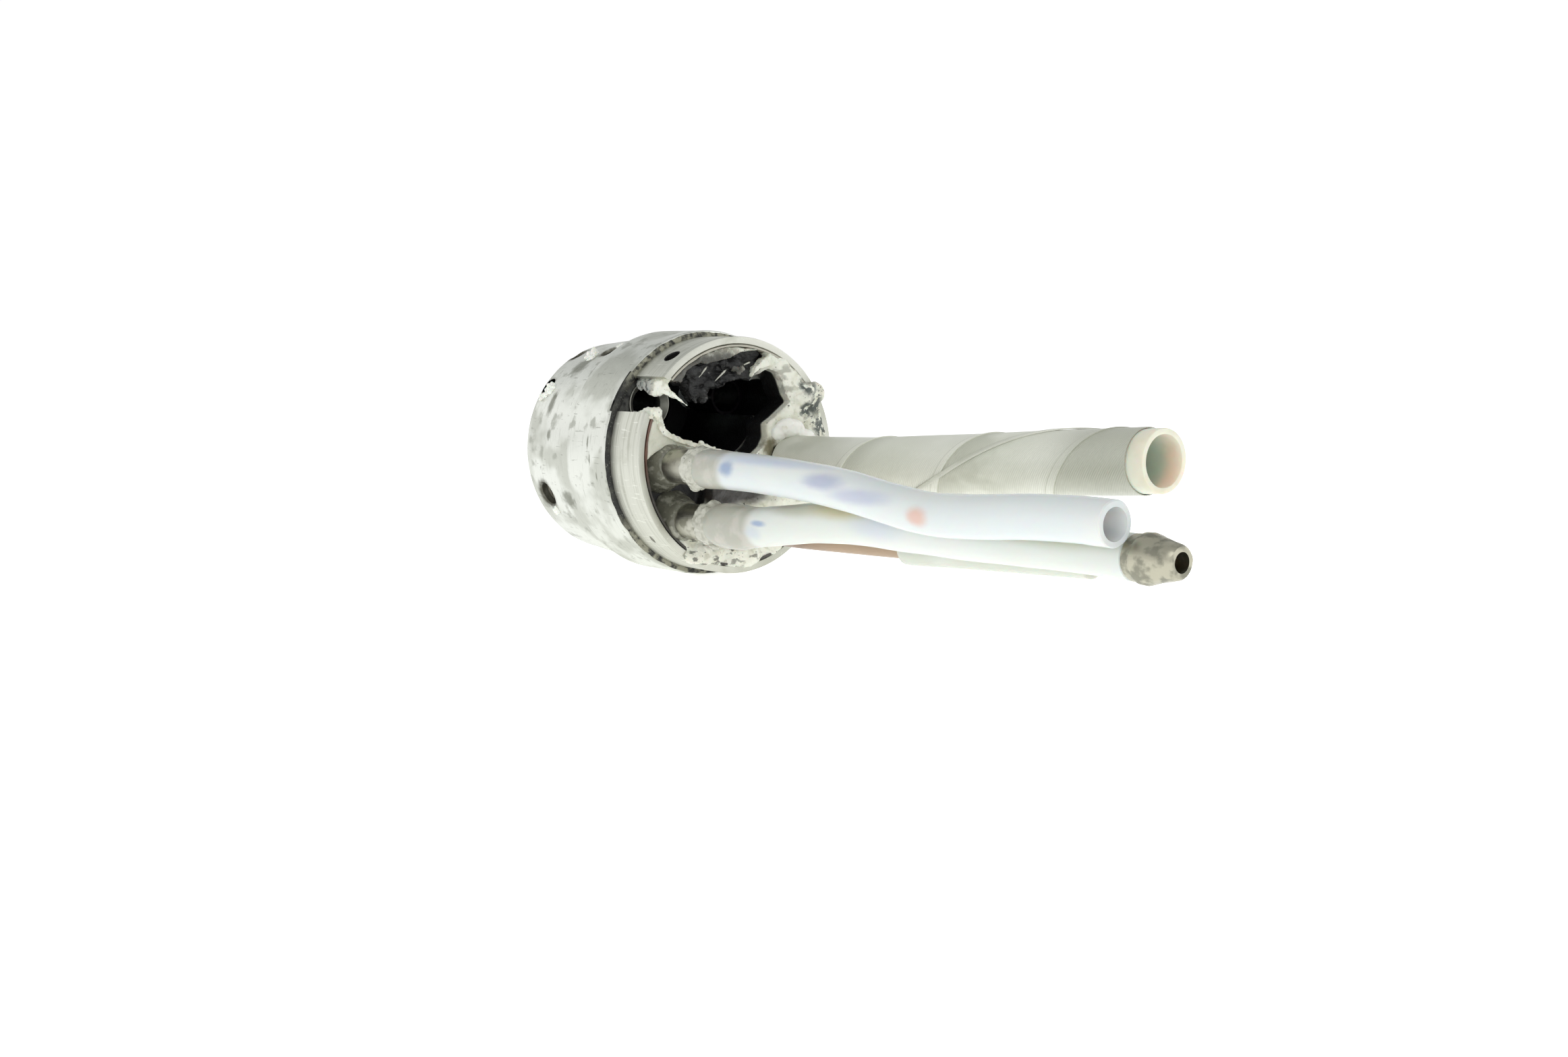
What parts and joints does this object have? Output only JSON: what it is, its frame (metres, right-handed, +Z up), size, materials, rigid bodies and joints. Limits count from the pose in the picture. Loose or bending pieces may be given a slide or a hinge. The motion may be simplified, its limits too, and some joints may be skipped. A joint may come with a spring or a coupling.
{
  "type": "endoscope distal tip",
  "caption": "Metal distal tip of a flexible endoscope with rear collar, emptied camera bore, potted pipes, clear fluid tubes and a tape-wrapped channel tube.",
  "frame": {"origin": "centre of the bounding box in plan, on the surface that the shoulder rests on", "axes": "+X along the tip's axis, rearwards along the free tubes; +Z up, away from the surface"},
  "size_m": [0.044, 0.0126, 0.0126],
  "materials": {
    "machined_steel": "machined stainless steel, scratched and dented by removal",
    "turned_steel": "finely turned stainless steel",
    "dull_steel": "drawn stainless pipe, dull",
    "black_anodised": "black anodised optical mount",
    "black_sealant": "torn black adhesive",
    "amber_polyimide": "reddish brown polyimide film",
    "potting_resin": "rough cream epoxy with dark specks",
    "optical_glass": "polished glass",
    "clear_adhesive": "clear adhesive, slightly yellow",
    "clear_tubing": "bluish clear fluoropolymer tube",
    "channel_liner": "cream fluoropolymer tube",
    "wrap_tape": "greyish beige tape wound over a fine coil"
  },
  "bodies": {
    "tip": {"tip_body": "machined_steel", "rear_collar": "turned_steel", "shoulder_seal": "black_sealant", "insulating_liner": "amber_polyimide", "rear_potting": "potting_resin", "torn_adhesive": "black_sealant", "objective_barrel": "black_anodised", "objective_window": "optical_glass", "lens_spacer": "black_anodised", "rear_lens": "optical_glass", "left_light_lens": "optical_glass", "right_light_lens": "optical_glass", "left_light_sleeve": "dull_steel", "right_light_sleeve": "dull_steel", "air_water_nozzle": "dull_steel", "air_pipe": "dull_steel", "water_pipe": "dull_steel", "air_glue_ring": "clear_adhesive", "water_glue_ring": "clear_adhesive", "air_tube_cuff": "clear_tubing", "water_tube_cuff": "clear_tubing", "channel_pipe": "dull_steel", "jet_pipe_root": "amber_polyimide", "objective_screw": "dull_steel", "nozzle_screw": "dull_steel"},
    "fluid_lines": {"air_tube": "clear_tubing", "water_tube": "clear_tubing", "jet_pipe": "amber_polyimide", "jet_tube": "clear_tubing", "water_stub": "dull_steel"},
    "channel_line": {"channel_tube": "channel_liner", "channel_wrap": "wrap_tape"}
  },
  "joints": [
    {"name": "fluid_lines_flex", "type": "hinge", "parent": "tip", "child": "fluid_lines", "pos_m": [-0.00473, -0.0036, 0.00449], "axis": [0, 0, 1], "range_deg": [-10, 6], "stiffness_Nm_per_rad": 0.002},
    {"name": "channel_line_flex", "type": "hinge", "parent": "tip", "child": "channel_line", "pos_m": [-0.0091, 0.0034, 0.00584], "axis": [0, 0, 1], "range_deg": [-6, 10], "stiffness_Nm_per_rad": 0.002}
  ]
}
